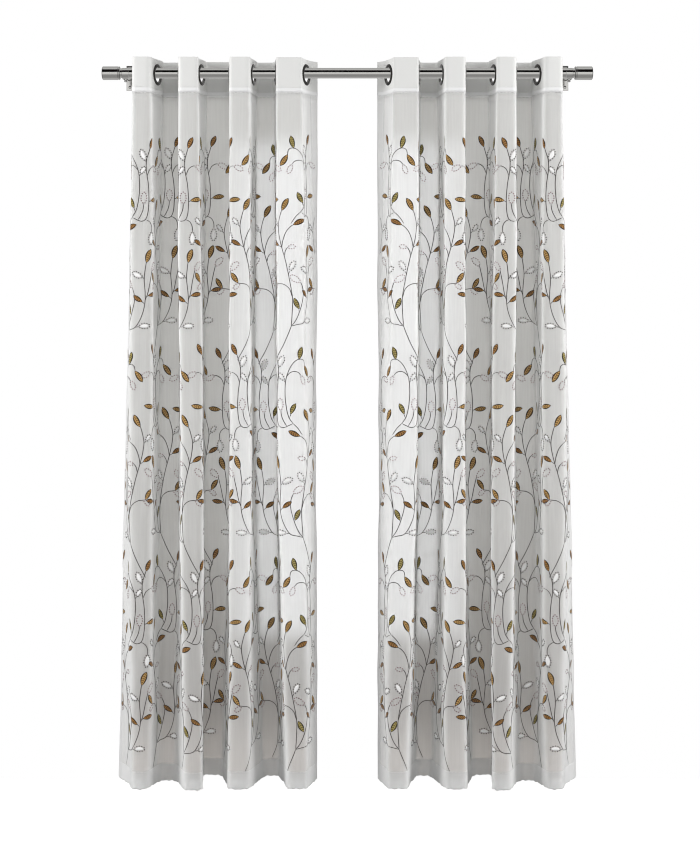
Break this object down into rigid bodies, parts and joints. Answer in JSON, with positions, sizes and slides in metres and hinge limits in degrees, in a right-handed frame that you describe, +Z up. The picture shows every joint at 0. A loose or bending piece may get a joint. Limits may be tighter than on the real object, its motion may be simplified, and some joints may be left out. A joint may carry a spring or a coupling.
{
  "type": "pair of sheer voile eyelet curtains on a curtain rod",
  "caption": "Pair of embroidered sheer voile curtain panels with opaque eyelet headings, gathered on a metal rod with plain cylinder ends and wall brackets.",
  "frame": {"origin": "on the wall plane behind the middle of the rod, at the height of the rod's axis", "axes": "+X to the right along the rod as seen from the room, +Y into the wall, +Z up; the cloth's face looks along -Y"},
  "size_m": [1.4466, 0.1706, 2.134],
  "materials": {
    "voile": "sheer white voile",
    "heading_cloth": "opaque white heading cloth",
    "pewter": "dark plated eyelet ring",
    "brushed_nickel": "satin nickel plate"
  },
  "bodies": {
    "root": {"rod": "brushed_nickel", "panel_left": "voile", "heading_left": "heading_cloth", "eyelet_left_1": "pewter", "eyelet_left_2": "pewter", "eyelet_left_3": "pewter", "eyelet_left_4": "pewter", "eyelet_left_5": "pewter", "eyelet_left_6": "pewter", "eyelet_left_7": "pewter", "eyelet_left_8": "pewter", "finial_left": "brushed_nickel", "bracket_left": "brushed_nickel", "thumb_screw_left": "brushed_nickel", "wall_screw_left_upper": "brushed_nickel", "wall_screw_left_lower": "brushed_nickel", "panel_right": "voile", "heading_right": "heading_cloth", "eyelet_right_1": "pewter", "eyelet_right_2": "pewter", "eyelet_right_3": "pewter", "eyelet_right_4": "pewter", "eyelet_right_5": "pewter", "eyelet_right_6": "pewter", "eyelet_right_7": "pewter", "eyelet_right_8": "pewter", "finial_right": "brushed_nickel", "bracket_right": "brushed_nickel", "thumb_screw_right": "brushed_nickel", "wall_screw_right_upper": "brushed_nickel", "wall_screw_right_lower": "brushed_nickel"}
  },
  "joints": []
}
